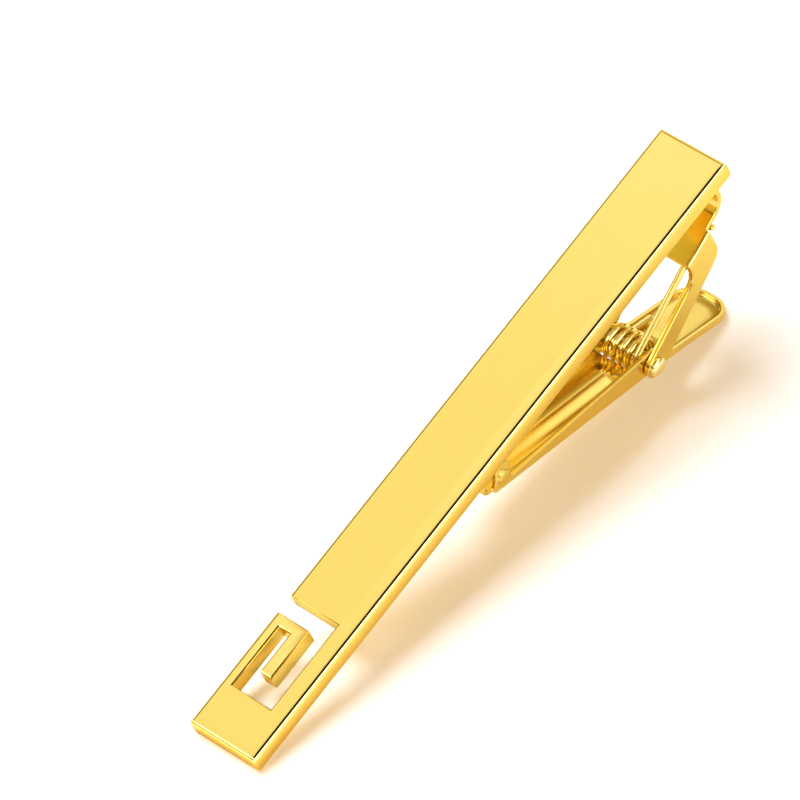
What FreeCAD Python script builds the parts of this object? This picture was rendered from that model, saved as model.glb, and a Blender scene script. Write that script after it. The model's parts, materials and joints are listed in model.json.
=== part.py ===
# Tie clip: a polished bar with a Greek key window and a sprung clasp behind it.
#
# The bar frame has its origin on the bar's back face at the near end, with X along
# the bar and Z out of its front face. The jaw frame has its origin on the pivot,
# with X along the floor of the jaw's front part, towards the thumb end. The whole
# clip then leans back until the near end and the thumb end both touch the table.
import FreeCAD
import Part
import Sketcher
import math
import os

Vector = FreeCAD.Vector
doc = FreeCAD.newDocument("TieClip")

# Driving sizes: lengths in millimetres, angles in degrees
SIZES = [
    # Front bar
    ("bar_length", 60.0),
    ("bar_width", 6.6),
    ("bar_thick", 1.65),
    ("bar_edge_round", 0.35),
    # Greek key window, counted in from the near end and from the open edge
    ("key_end_rim", 4.2),
    ("key_cross_width", 2.0),
    ("key_tongue_length", 3.8),
    ("key_hook_width", 0.95),
    ("key_entry_width", 1.6),
    ("key_side_rim", 1.0),
    ("key_slit_width", 1.1),
    ("key_tongue_width", 1.2),
    ("key_channel_width", 1.6),
    # Hinge bracket, bent from strip
    ("bracket_sheet", 0.5),
    ("strip_into_ear", 0.05),
    ("tab_length", 6.3),
    ("bend_radius", 1.95),
    ("bend_set_back", 1.05),
    ("web_angle", 17.0),
    ("web_length", 4.55),
    ("ear_root_length", 3.26),
    ("ear_back_lean", 0.2),
    ("ear_arch_drop", 1.36),
    ("ear_shoulder_drop", 2.68),
    ("ear_front_angle", 23.0),
    ("ear_back_angle", 26.3),
    ("ear_end_radius", 1.08),
    ("ear_arch_round", 1.4),
    ("ear_back_round", 1.5),
    ("fold_round_share", 0.85),
    # Pivot and rivet
    ("pivot_set_back", 13.2),
    ("pivot_depth", 10.4),
    ("pin_radius", 0.55),
    ("rivet_head_radius", 0.83),
    ("rivet_head_height", 0.33),
    ("rivet_hole_play", 0.02),
    ("hinge_play", 0.05),
    ("side_play", 0.05),
    # Clip jaw, pressed from sheet
    ("jaw_width", 4.8),
    ("jaw_sheet", 0.4),
    ("jaw_angle", 24.0),
    ("jaw_bend_angle", 4.0),
    ("jaw_bend_reach", 3.0),
    ("jaw_floor_drop", 1.0),
    ("jaw_tip_reach", 19.9),
    ("jaw_thumb_reach", 10.45),
    ("flange_tip_height", 0.6),
    ("hump_radius", 1.24),
    ("hump_back_foot", 2.9),
    ("hump_back_angle", 50.0),
    ("hump_front_angle", 95.5),
    ("thumb_rim_height", 0.57),
    ("thumb_corner_share", 0.86),
    ("cheek_set_back", 2.0),
    ("cheek_rise", 1.78),
    ("cheek_radius", 0.86),
    ("cheek_front_share", 0.85),
    ("cheek_root_round", 0.3),
    ("boss_radius", 0.62),
    ("boss_height", 0.18),
    ("boss_drop", 0.48),
    ("lip_width", 4.2),
    ("lip_bend_radius", 0.8),
    ("lip_gap", 0.35),
    ("rib_start", 3.2),
    ("rib_set_back", 3.0),
    ("rib_width", 2.4),
    ("rib_height", 0.45),
    ("rib_groove_width", 1.5),
    ("rib_slope", 0.35),
    # Torsion spring
    ("wire_diameter", 0.55),
    ("coil_radius", 1.3),
    ("turn_gap", 0.42),
    ("coil_room", 0.08),
    ("leg_gap", 0.05),
    ("leg_corner_behind_web", 0.25),
    ("leg_ear_gap", 0.12),
    ("leg_end_past_ear", 0.05),
    ("leg_end_proud", 0.1),
    ("leg_end_length", 0.85),
    ("leg_round", 0.6),
    ("thumb_leg_reach", 4.6),
    ("thumb_leg_lift", 48.0),
    # Length by which a cut runs past what it cuts
    ("overrun", 1.0),
]
COIL_WHOLE_TURNS = 3

sheet = doc.addObject("Spreadsheet::Sheet", "Sizes")
for row, (alias, number) in enumerate(SIZES, start=1):
    sheet.set(f"A{row}", alias)
    sheet.set(f"B{row}", str(number))
    sheet.setAlias(f"B{row}", alias)
doc.recompute()


class Size:
    """A number worked out from the sheet, together with the expression that gives it."""

    def __init__(self, text, number):
        self.text = text
        self.number = number

    def combine(self, sign, other, number):
        return Size(f"({self.text} {sign} {as_size(other).text})", number)

    def __add__(self, other):
        return self.combine("+", other, self.number + as_size(other).number)

    def __sub__(self, other):
        return self.combine("-", other, self.number - as_size(other).number)

    def __mul__(self, other):
        return self.combine("*", other, self.number * as_size(other).number)

    def __truediv__(self, other):
        return self.combine("/", other, self.number / as_size(other).number)

    def __neg__(self):
        return Size(f"(-{self.text})", -self.number)


def as_size(thing):
    return thing if isinstance(thing, Size) else Size(str(thing), thing)


def sine(angle):
    return Size(f"sin({angle.text})", math.sin(math.radians(angle.number)))


def cosine(angle):
    return Size(f"cos({angle.text})", math.cos(math.radians(angle.number)))


def tangent(angle):
    return Size(f"tan({angle.text})", math.tan(math.radians(angle.number)))


def size(alias):
    return Size(f"Sizes.{alias}", getattr(sheet, alias))


ZERO = as_size(0)
overrun = size("overrun")


def new_body(label):
    body = doc.addObject("PartDesign::Body", label)
    body.Label = label
    return body


def new_sketch(body, name, role, offset=None):
    """A sketch on one of the body's own origin planes, moved along the plane's normal by offset."""
    plane = next(feature for feature in body.Origin.OriginFeatures if feature.Role == role)
    sketch = body.newObject("Sketcher::SketchObject", name)
    sketch.AttachmentSupport = (plane, [""])
    sketch.MapMode = "FlatFace"
    if offset is not None:
        sketch.setExpression("AttachmentOffset.Base.z", offset.text)
    return sketch


def drive(sketch, kind, geometry, place, distance):
    """Tie one coordinate of a sketch point to an expression of the sheet."""
    axis = -2 if kind == "DistanceX" else -1
    if distance is ZERO:
        sketch.addConstraint(Sketcher.Constraint("PointOnObject", geometry, place, axis))
        return
    index = sketch.addConstraint(Sketcher.Constraint(kind, -1, 1, geometry, place, distance.number))
    sketch.setExpression(f"Constraints[{index}]", distance.text)


def arc_between(start, end, radius, turn):
    """The arc of under half a circle from start to end, turning left or right on the way."""
    side = 1.0 if turn == "left" else -1.0
    chord = end - start
    middle = (start + end) * 0.5
    square = Vector(-chord.y, chord.x, 0)
    square.normalize()
    centre = middle + square * side * math.sqrt(radius ** 2 - (chord.Length / 2) ** 2)
    first, last = (start, end) if turn == "left" else (end, start)
    angles = [math.atan2(p.y - centre.y, p.x - centre.x) for p in (first, last)]
    return Part.ArcOfCircle(Part.Circle(centre, Vector(0, 0, 1), radius), angles[0], angles[1])


def outline(sketch, corners):
    """A closed outline. A corner is (x, y), or (x, y, radius, turn) where an arc leads on from it."""
    points = [Vector(corner[0].number, corner[1].number, 0) for corner in corners]
    places = []
    for index, corner in enumerate(corners):
        start = points[index]
        end = points[(index + 1) % len(points)]
        if len(corner) == 2:
            geometry = sketch.addGeometry(Part.LineSegment(start, end))
            places.append((geometry, 1, 2))
            continue
        geometry = sketch.addGeometry(arc_between(start, end, corner[2].number, corner[3]))
        places.append((geometry, 1, 2) if corner[3] == "left" else (geometry, 2, 1))
    for index, corner in enumerate(corners):
        geometry, start, _ = places[index]
        before, _, end = places[index - 1]
        sketch.addConstraint(Sketcher.Constraint("Coincident", before, end, geometry, start))
        drive(sketch, "DistanceX", geometry, start, corner[0])
        drive(sketch, "DistanceY", geometry, start, corner[1])
        if len(corner) > 2:
            constraint = Sketcher.Constraint("Radius", geometry, corner[2].number)
            sketch.setExpression(f"Constraints[{sketch.addConstraint(constraint)}]", corner[2].text)


def obround(sketch, start, end, half):
    """A slot outline along X with half round ends."""
    outline(sketch, [
        (start + half, -half),
        (end - half, -half, half, "left"),
        (end, ZERO, half, "left"),
        (end - half, half),
        (start + half, half, half, "left"),
        (start, ZERO, half, "left"),
    ])


def circle(sketch, x, y, radius):
    centre = Vector(x.number, y.number, 0)
    geometry = sketch.addGeometry(Part.Circle(centre, Vector(0, 0, 1), radius.number))
    drive(sketch, "DistanceX", geometry, 3, x)
    drive(sketch, "DistanceY", geometry, 3, y)
    index = sketch.addConstraint(Sketcher.Constraint("Radius", geometry, radius.number))
    sketch.setExpression(f"Constraints[{index}]", radius.text)


def pad(body, name, sketch, length, symmetric=False):
    feature = body.newObject("PartDesign::Pad", name)
    feature.Profile = sketch
    feature.SideType = "Symmetric" if symmetric else "One side"
    feature.setExpression("Length", length.text)
    doc.recompute()
    return feature


def pocket(body, name, sketch, length, symmetric=True):
    """Cut away a profile, and make sure that the cut took something."""
    before = body.Shape.Volume
    feature = body.newObject("PartDesign::Pocket", name)
    feature.Profile = sketch
    feature.Type = "Length"
    feature.SideType = "Symmetric" if symmetric else "One side"
    feature.Reversed = not symmetric
    feature.setExpression("Length", length.text)
    doc.recompute()
    if not feature.Shape.Volume < before:
        raise RuntimeError(f"{name} cuts nothing")
    return feature


def near(edge, x=None, y=None, z=None):
    """Whether the whole edge lies where the given coordinates say, y counted both ways."""
    tiny = edge.Length * 1e-4
    for place in [vertex.Point for vertex in edge.Vertexes] + [edge.CenterOfMass]:
        if x is not None and abs(place.x - x.number) > tiny:
            return False
        if y is not None and abs(abs(place.y) - y.number) > tiny:
            return False
        if z is not None and abs(place.z - z.number) > tiny:
            return False
    return True


def edge_names(body, name, wanted):
    """The edges of the body's last feature that the test picks out."""
    edges = body.Tip.Shape.Edges
    names = [f"Edge{index}" for index, edge in enumerate(edges, start=1) if wanted(edge)]
    if not names:
        raise RuntimeError(f"{name} finds no edge")
    return names


def fillet(body, name, radius, wanted):
    base = (body.Tip, edge_names(body, name, wanted))
    feature = body.newObject("PartDesign::Fillet", name)
    feature.Base = base
    feature.setExpression("Radius", radius.text)
    doc.recompute()


def chamfer(body, name, width, wanted):
    base = (body.Tip, edge_names(body, name, wanted))
    feature = body.newObject("PartDesign::Chamfer", name)
    feature.Base = base
    feature.setExpression("Size", width.text)
    doc.recompute()


# Sizes that several pieces share
half_bar = size("bar_width") / 2
pivot_x = size("bar_length") - size("pivot_set_back")
pivot_z = -size("pivot_depth")
ear_inner = size("jaw_width") / 2 + size("side_play")
ear_outer = ear_inner + size("bracket_sheet")
strip_half = ear_inner + size("strip_into_ear")
coil_outer = size("coil_radius") + size("wire_diameter") / 2
bend_x = size("bar_length") - size("bend_set_back") - size("bend_radius")
web_sin = sine(size("web_angle"))
web_cos = cosine(size("web_angle"))
web_start_x = bend_x + size("bend_radius") * web_sin
web_start_z = -size("bend_radius") - size("bend_radius") * web_cos
web_end_x = web_start_x - size("web_length") * web_cos
web_end_z = web_start_z - size("web_length") * web_sin


def make_front_bar():
    """The flat bar, with the Greek key cut through it from one long edge."""
    body = new_body("front_bar")
    plan = new_sketch(body, "BarPlan", "XY_Plane")
    length = size("bar_length")
    outline(plan, [(ZERO, -half_bar), (length, -half_bar), (length, half_bar), (ZERO, half_bar)])
    pad(body, "BarPlate", plan, size("bar_thick"))

    cross_start = size("key_end_rim")
    tongue_end = cross_start + size("key_cross_width")
    hook_start = tongue_end + size("key_tongue_length")
    entry_start = hook_start + size("key_hook_width")
    entry_end = entry_start + size("key_entry_width")
    slit_edge = half_bar - size("key_side_rim")
    tongue_edge = slit_edge - size("key_slit_width")
    channel_edge = tongue_edge - size("key_tongue_width")
    rail_edge = channel_edge - size("key_channel_width")
    mouth = half_bar + overrun
    key = new_sketch(body, "KeyPlan", "XY_Plane")
    outline(key, [
        (entry_end, mouth),
        (entry_end, rail_edge),
        (cross_start, rail_edge),
        (cross_start, slit_edge),
        (hook_start, slit_edge),
        (hook_start, tongue_edge),
        (tongue_end, tongue_edge),
        (tongue_end, channel_edge),
        (entry_start, channel_edge),
        (entry_start, mouth),
    ])
    pocket(body, "KeyWindow", key, size("bar_thick") + overrun, symmetric=False)

    def on_front_rim(edge):
        on_end = near(edge, x=ZERO) or near(edge, x=length)
        return near(edge, z=size("bar_thick")) and (on_end or near(edge, y=half_bar))

    fillet(body, "FrontRim", size("bar_edge_round"), on_front_rim)
    return body


def make_hinge_bracket():
    """The bent strip: a tab under the bar, a half round bend, a web and two ears for the pin."""
    body = new_body("hinge_bracket")
    wall = size("bracket_sheet")
    outside = size("bend_radius")
    inside = outside - wall
    side = new_sketch(body, "StripSide", "XZ_Plane")
    outline(side, [
        (bend_x - size("tab_length"), ZERO),
        (bend_x, ZERO, outside, "right"),
        (web_start_x, web_start_z),
        (web_end_x, web_end_z),
        (web_end_x - wall * web_sin, web_end_z + wall * web_cos),
        (web_start_x - wall * web_sin, web_start_z + wall * web_cos, inside, "left"),
        (bend_x, -wall),
        (bend_x - size("tab_length"), -wall),
    ])
    pad(body, "Strip", side, strip_half * 2, symmetric=True)

    front_x = web_end_x
    back_x = front_x + size("ear_root_length")
    root_x = back_x - size("ear_back_lean")
    rise = tangent(size("web_angle"))
    top_drop = wall / web_cos
    front_top = web_end_z + top_drop
    root_top = web_end_z + (root_x - front_x) * rise + top_drop
    front_angle = size("ear_front_angle")
    back_angle = size("ear_back_angle")
    end = size("ear_end_radius")
    front_foot_x = pivot_x - end * sine(front_angle)
    front_foot_z = pivot_z + end * cosine(front_angle)
    back_foot_x = pivot_x + end * sine(back_angle)
    back_foot_z = pivot_z - end * cosine(back_angle)
    arch_z = web_end_z - size("ear_arch_drop")
    shoulder_z = web_end_z + (back_x - front_x) * rise - size("ear_shoulder_drop")
    ear = new_sketch(body, "EarSide", "XZ_Plane", ear_inner)
    outline(ear, [
        (front_x, front_top),
        (front_x, arch_z),
        (front_foot_x, front_foot_z, end, "left"),
        (pivot_x - end, pivot_z, end, "left"),
        (back_foot_x, back_foot_z),
        (back_x, shoulder_z),
        (root_x, root_top),
    ])
    first_ear = pad(body, "Ear", ear, wall)
    second_ear = body.newObject("PartDesign::Mirrored", "SecondEar")
    second_ear.Originals = [first_ear]
    plane = next(feature for feature in body.Origin.OriginFeatures if feature.Role == "XZ_Plane")
    second_ear.MirrorPlane = (plane, [""])
    body.Tip = second_ear
    doc.recompute()

    hole = new_sketch(body, "PinHoles", "XZ_Plane")
    circle(hole, pivot_x, pivot_z, size("pin_radius") + size("rivet_hole_play"))
    pocket(body, "PinHolesCut", hole, ear_outer * 2 + overrun)
    fillet(body, "EarArch", size("ear_arch_round"), lambda edge: near(edge, x=front_x, z=arch_z))
    fillet(body, "EarShoulder", size("ear_back_round"), lambda edge: near(edge, x=back_x, z=shoulder_z))

    fold_x = (front_x + root_x) / 2
    fold_z = (front_top + root_top) / 2

    def on_fold(edge):
        middle = edge.CenterOfMass
        away = math.hypot(middle.x - fold_x.number, middle.z - fold_z.number)
        return near(edge, y=ear_outer) and away < edge.Length * 1e-4

    fold_round = (wall - size("strip_into_ear")) * size("fold_round_share")
    fillet(body, "EarFold", fold_round, on_fold)
    return body


def make_pivot_rivet():
    """The hinge pin, with a low domed head on the outside of each ear."""
    body = new_body("pivot_rivet")
    profile = new_sketch(body, "RivetProfile", "XY_Plane")
    shank = size("pin_radius")
    head = size("rivet_head_radius")
    dome = size("rivet_head_height")
    dome_radius = (head * head + dome * dome) / (dome * 2)
    outline(profile, [
        (ZERO, -ear_outer - dome, dome_radius, "left"),
        (head, -ear_outer),
        (shank, -ear_outer),
        (shank, ear_outer),
        (head, ear_outer, dome_radius, "left"),
        (ZERO, ear_outer + dome),
    ])
    turned = body.newObject("PartDesign::Revolution", "Rivet")
    turned.Profile = profile
    turned.ReferenceAxis = (profile, ["V_Axis"])
    turned.Angle = 360
    doc.recompute()
    return body


# Lines of the jaw's side view, in the jaw frame
floor_z = -size("jaw_floor_drop")
jaw_wall = size("jaw_sheet")
jaw_slope = tangent(size("jaw_bend_angle"))
jaw_bend_x = size("jaw_bend_reach")
thumb_x = size("jaw_thumb_reach")
thumb_z = floor_z - (thumb_x - jaw_bend_x) * jaw_slope
inner_half = size("jaw_width") / 2 - jaw_wall


def make_clip_jaw():
    """The pressed jaw: a channel with a ribbed floor, pivot humps, a thumb pan and a gripping lip."""
    body = new_body("clip_jaw")
    tip_x = -size("jaw_tip_reach")
    cheek_x = tip_x + size("cheek_set_back")
    cheek = size("cheek_radius")
    cheek_z = floor_z + size("cheek_rise")
    nose_x = cheek_x - cheek
    top_z = cheek_z + cheek
    tilt_share = jaw_wall / cosine(size("jaw_bend_angle"))

    side = new_sketch(body, "JawSide", "XZ_Plane")
    outline(side, [
        (nose_x, floor_z),
        (jaw_bend_x, floor_z),
        (thumb_x, thumb_z),
        (thumb_x, top_z),
        (nose_x, top_z),
    ])
    pad(body, "JawBlank", side, size("jaw_width"), symmetric=True)
    boss = new_sketch(body, "BossSide", "XZ_Plane")
    circle(boss, cheek_x, cheek_z - size("boss_drop"), size("boss_radius"))
    pad(body, "CheekBosses", boss, size("jaw_width") + size("boss_height") * 2, symmetric=True)

    inner_end = thumb_x - jaw_wall
    hollow = new_sketch(body, "ChannelSide", "XZ_Plane")
    outline(hollow, [
        (nose_x - overrun, floor_z + jaw_wall),
        (jaw_bend_x + jaw_wall * tangent(size("jaw_bend_angle") / 2), floor_z + jaw_wall),
        (inner_end, floor_z - (inner_end - jaw_bend_x) * jaw_slope + tilt_share),
        (inner_end, top_z + overrun),
        (nose_x - overrun, top_z + overrun),
    ])
    pocket(body, "Channel", hollow, inner_half * 2)
    half_jaw = size("jaw_width") / 2
    thumb_round = half_jaw * size("thumb_corner_share")
    fillet(body, "ThumbPan", thumb_round - jaw_wall, lambda edge: near(edge, x=inner_end, y=inner_half))
    fillet(body, "ThumbCorners", thumb_round, lambda edge: near(edge, x=thumb_x, y=half_jaw))

    hump = size("hump_radius")
    back_foot = size("hump_back_foot")
    flange_z = floor_z + size("flange_tip_height")
    cheek_back = cheek_x + cheek
    trim = new_sketch(body, "FlangeTrim", "XZ_Plane")
    outline(trim, [
        (thumb_x + overrun, thumb_z + size("thumb_rim_height")),
        (thumb_x, thumb_z + size("thumb_rim_height")),
        (back_foot, floor_z + size("thumb_rim_height")),
        (hump * cosine(size("hump_back_angle")), hump * sine(size("hump_back_angle")), hump, "left"),
        (hump * cosine(size("hump_front_angle")), hump * sine(size("hump_front_angle"))),
        (cheek_back, flange_z),
        (cheek_back, cheek_z, cheek, "left"),
        (cheek_x, top_z),
        (cheek_x, top_z + overrun),
        (thumb_x + overrun, top_z + overrun),
    ])
    pocket(body, "FlangeOutline", trim, size("jaw_width") + overrun)
    fillet(body, "CheekFront", cheek * size("cheek_front_share"), lambda edge: near(edge, x=nose_x, z=top_z))
    fillet(body, "CheekRoot", size("cheek_root_round"), lambda edge: near(edge, x=cheek_back, z=flange_z))

    curl = size("lip_bend_radius")
    curl_x = tip_x + curl
    lean = size("jaw_angle")
    bar_back_z = (size("pivot_depth") + tip_x * sine(lean)) / cosine(lean)
    lip_z = bar_back_z - size("lip_gap")
    lip = new_sketch(body, "LipSide", "XZ_Plane")
    outline(lip, [
        (cheek_x, floor_z),
        (curl_x, floor_z, curl, "right"),
        (tip_x, floor_z + curl),
        (tip_x, lip_z),
        (tip_x + jaw_wall, lip_z),
        (tip_x + jaw_wall, floor_z + curl, curl - jaw_wall, "left"),
        (curl_x, floor_z + jaw_wall),
        (cheek_x, floor_z + jaw_wall),
    ])
    pad(body, "GripLip", lip, size("lip_width"), symmetric=True)

    rib_top = floor_z + jaw_wall + size("rib_height")
    rib = new_sketch(body, "RibPlan", "XY_Plane", floor_z + jaw_wall / 2)
    rib_end = tip_x + size("rib_set_back")
    obround(rib, rib_end, -size("rib_start"), size("rib_width") / 2)
    pad(body, "FloorRib", rib, jaw_wall / 2 + size("rib_height"))
    chamfer(body, "RibCrown", size("rib_slope"), lambda edge: near(edge, z=rib_top))
    groove = new_sketch(body, "RibGroove", "XY_Plane", floor_z)
    obround(groove, rib_end + jaw_wall, -size("rib_start") - jaw_wall, size("rib_groove_width") / 2)
    pocket(body, "RibHollow", groove, size("rib_height"), symmetric=False)

    pin = new_sketch(body, "PivotHoles", "XZ_Plane")
    circle(pin, ZERO, ZERO, size("pin_radius") + size("hinge_play"))
    pocket(body, "PivotHolesCut", pin, size("jaw_width") + overrun)
    window = new_sketch(body, "SpringWindow", "XZ_Plane")
    circle(window, ZERO, ZERO, coil_outer + size("coil_room"))
    pocket(body, "SpringWindowCut", window, inner_half * 2)
    return body


def arc_edge(start, heading, end):
    """The arc that leaves start along heading and ends at end."""
    chord = end - start
    square = heading.cross(chord)
    if square.Length < chord.Length * 1e-9:
        return Part.LineSegment(start, end).toShape()
    square.normalize()
    inward = square.cross(heading)
    radius = chord.Length ** 2 / (2 * chord.dot(inward))
    centre = start + inward * radius
    outward = (start + end) * 0.5 - centre
    outward.normalize()
    return Part.Arc(start, centre + outward * radius, end).toShape()


def biarc(start, heading, end, leaving):
    """Two arcs that join two points with given headings smoothly."""
    across = end - start
    both = heading + leaving
    spread = 2 * (1 - heading.dot(leaving))
    reach = across.dot(both)
    step = (-reach + math.sqrt(reach ** 2 + spread * across.dot(across))) / spread
    meet = (start + end + (heading - leaving) * step) * 0.5
    along = meet - start - heading * step
    along.normalize()
    return [arc_edge(start, heading, meet), arc_edge(meet, along, end)]


def rounded_run(points, radius):
    """Straight runs through points, with a tangent arc at each inner point."""
    edges = []
    last = points[0]
    for before, corner, after in zip(points, points[1:], points[2:]):
        back = before - corner
        forth = after - corner
        back.normalize()
        forth.normalize()
        half_turn = math.pi / 2 - back.getAngle(forth) / 2
        step = radius * math.tan(half_turn)
        start = corner + back * step
        end = corner + forth * step
        edges.append(Part.LineSegment(last, start).toShape())
        edges.append(arc_edge(start, back * -1, end))
        last = end
    edges.append(Part.LineSegment(last, points[-1]).toShape())
    return edges


def least_gap(path, pitch_length, diameter, samples_per_turn):
    """The least distance from the tube's surface to itself, between points a turn or so apart."""
    step = pitch_length / samples_per_turn
    points = path.discretize(Distance=step)
    apart = samples_per_turn // 2
    gaps = []
    for index, point in enumerate(points):
        for other in points[index + apart:]:
            gaps.append(point.distanceToPoint(other))
    return min(gaps) - diameter


def make_torsion_spring():
    """The wire spring on the pin: one leg under the bracket's web, the other on the thumb pan's floor."""
    wire = size("wire_diameter").number
    coil = size("coil_radius").number
    pitch = wire + size("turn_gap").number
    pivot = Vector(pivot_x.number, 0, pivot_z.number)
    spare = wire / 2 + size("leg_gap").number
    web_lean = math.radians(size("web_angle").number)
    under_web = Vector(math.sin(web_lean), 0, -math.cos(web_lean)) * spare
    along_web = Vector(math.cos(web_lean), 0, math.sin(web_lean))
    web_edge = Vector(web_end_x.number, 0, web_end_z.number) + under_web
    corner = web_edge + along_web * size("leg_corner_behind_web").number
    past_ear = size("ear_root_length").number + size("leg_end_past_ear").number + wire / 2
    upper_end = web_edge + along_web * (past_ear / along_web.x)

    # Where the upper leg touches the coil, and where the lower leg leaves it
    to_corner = corner - pivot
    start_turn = math.atan2(to_corner.z, to_corner.x) + math.acos(coil / to_corner.Length)
    thumb_lean = math.radians(size("jaw_angle").number + size("jaw_bend_angle").number)
    lift = math.radians(size("thumb_leg_lift").number)
    leave_turn = 2 * math.pi + lift - math.pi / 2 - thumb_lean
    swept = leave_turn - start_turn + 2 * math.pi * COIL_WHOLE_TURNS
    turns = swept / (2 * math.pi)
    first_y = -turns * pitch / 2

    def coil_point(turn):
        share = (turn - start_turn) / swept
        return pivot + Vector(coil * math.cos(turn), first_y * (1 - 2 * share), coil * math.sin(turn))

    # The upper leg lies beside the ear and slants in towards the coil
    beside_ear = ear_inner.number - wire / 2 - size("leg_ear_gap").number
    corner = corner - Vector(0, beside_ear, 0)
    slant = coil_point(start_turn) - corner

    def coil_heading(turn):
        climb = pitch / (2 * math.pi)
        if turn == start_turn:
            climb = coil * slant.y / math.hypot(slant.x, slant.z)
        if turn == start_turn + swept:
            climb = 0.0
        heading = Vector(-coil * math.sin(turn), climb, coil * math.cos(turn))
        heading.normalize()
        return heading

    halves = max(1, round(2 * turns))
    stops = [start_turn + swept * index / halves for index in range(halves + 1)]
    stops[-1] = start_turn + swept
    winding = []
    for start, end in zip(stops, stops[1:]):
        winding += biarc(coil_point(start), coil_heading(start), coil_point(end), coil_heading(end))

    # Upper leg: a short end poking out past the strip, the run under the web, then down to the coil
    poke = strip_half.number + size("leg_end_proud").number
    leg_round = size("leg_round").number
    upper = rounded_run([
        upper_end - Vector(0, poke, 0),
        upper_end - Vector(0, poke - size("leg_end_length").number, 0),
        corner,
        coil_point(start_turn),
    ], leg_round)

    # Lower leg: up through the window, then along the thumb floor
    along = Vector(math.cos(thumb_lean), 0, -math.sin(thumb_lean))
    square = Vector(math.sin(thumb_lean), 0, math.cos(thumb_lean))
    bend = math.radians(size("jaw_bend_angle").number)
    floor_depth = size("jaw_floor_drop").number * math.cos(bend)
    floor_depth -= size("jaw_bend_reach").number * math.sin(bend)
    height = spare + jaw_wall.number - floor_depth
    exit_point = coil_point(start_turn + swept)
    rise = height - (exit_point - pivot).dot(square)
    exit_reach = (exit_point - pivot).dot(along) + rise / math.tan(lift)
    level = pivot + square * height + Vector(0, -first_y, 0)
    lower = rounded_run([
        exit_point,
        level + along * exit_reach,
        level + along * size("thumb_leg_reach").number,
    ], leg_round)

    path = Part.Wire(upper + winding + lower)
    section = Part.Circle(path.Edges[0].firstVertex(True).Point, Vector(0, 1, 0), wire / 2)
    tube = path.makePipeShell([Part.Wire(section.toShape())], True, False)
    gap = least_gap(Part.Wire(winding), 2 * math.pi * coil, wire, 48)
    print(f"torsion spring: {turns:.2f} turns, wire {path.Length:.1f} mm long, least gap {gap:.3f} mm")
    expected = math.pi * wire ** 2 / 4 * path.Length
    print(f"torsion spring: volume {tube.Volume:.3f}, section times length {expected:.3f} cubic mm")
    spring = doc.addObject("Part::Feature", "torsion_spring")
    spring.Label = "torsion_spring"
    spring.Shape = tube
    return spring


front_bar = make_front_bar()
hinge_bracket = make_hinge_bracket()
pivot_rivet = make_pivot_rivet()
clip_jaw = make_clip_jaw()
torsion_spring = make_torsion_spring()

# Lean of the bar on the table, where its near end and the thumb end both touch
jaw_turn = FreeCAD.Rotation(Vector(0, 1, 0), size("jaw_angle").number)
pivot_place = FreeCAD.Placement(Vector(pivot_x.number, 0, pivot_z.number), FreeCAD.Rotation())
jaw_place = FreeCAD.Placement(pivot_place.Base, jaw_turn)
thumb_foot = jaw_place.multVec(Vector(thumb_x.number, 0, thumb_z.number))
lean = math.degrees(math.atan2(-thumb_foot.z, thumb_foot.x))
lean_turn = FreeCAD.Rotation(Vector(0, 1, 0), -lean)
far_end = lean_turn.multVec(Vector(size("bar_length").number, 0, 0))
thumb_rim_z = thumb_z + size("thumb_rim_height")
thumb_end = lean_turn.multVec(jaw_place.multVec(Vector(thumb_x.number, 0, thumb_rim_z.number)))
near_end = lean_turn.multVec(Vector(0, 0, size("bar_thick").number))
middle_x = (max(far_end.x, thumb_end.x) + near_end.x) / 2
table_place = FreeCAD.Placement(Vector(-middle_x, 0, 0), lean_turn)
print(f"lean of the bar {lean:.3f} degrees")
for piece in (front_bar, hinge_bracket, torsion_spring):
    piece.Placement = table_place
pivot_rivet.Placement = table_place.multiply(pivot_place)
clip_jaw.Placement = table_place.multiply(jaw_place)
doc.recompute()

pieces = (front_bar, hinge_bracket, pivot_rivet, torsion_spring, clip_jaw)
for thing in doc.Objects:
    if "Invalid" in thing.State or "Error" in thing.State:
        raise RuntimeError(f"{thing.Label} failed: {thing.State}")
for piece in pieces:
    if piece.Shape.isNull() or not piece.Shape.isValid() or len(piece.Shape.Solids) != 1:
        raise RuntimeError(f"{piece.Label} is not one sound solid")

os.makedirs("parts", exist_ok=True)
for piece in pieces:
    piece.Shape.exportStep(f"parts/{piece.Label}.step")
    box = piece.Shape.BoundBox
    print(f"{piece.Label}: {piece.Shape.Volume:.2f} cubic mm, {box.XLength:.2f} x {box.YLength:.2f} x {box.ZLength:.2f}")
print("pivot on the table frame:", table_place.multVec(pivot_place.Base))
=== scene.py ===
# %% [markdown]
# # A polished tie clip
#
# A tie clip is a flat bar that shows on the tie and a small sprung clasp behind it.
# The solids come from CAD. This lesson gives them soft edges, shapes the pressed thumb
# pan, the rivet and the bead, winds the spring as closely as the real one, plates
# everything in gold and lights it on a white table.

import json
import math

import bpy
from mathutils import Matrix, Quaternion, Vector

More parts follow.
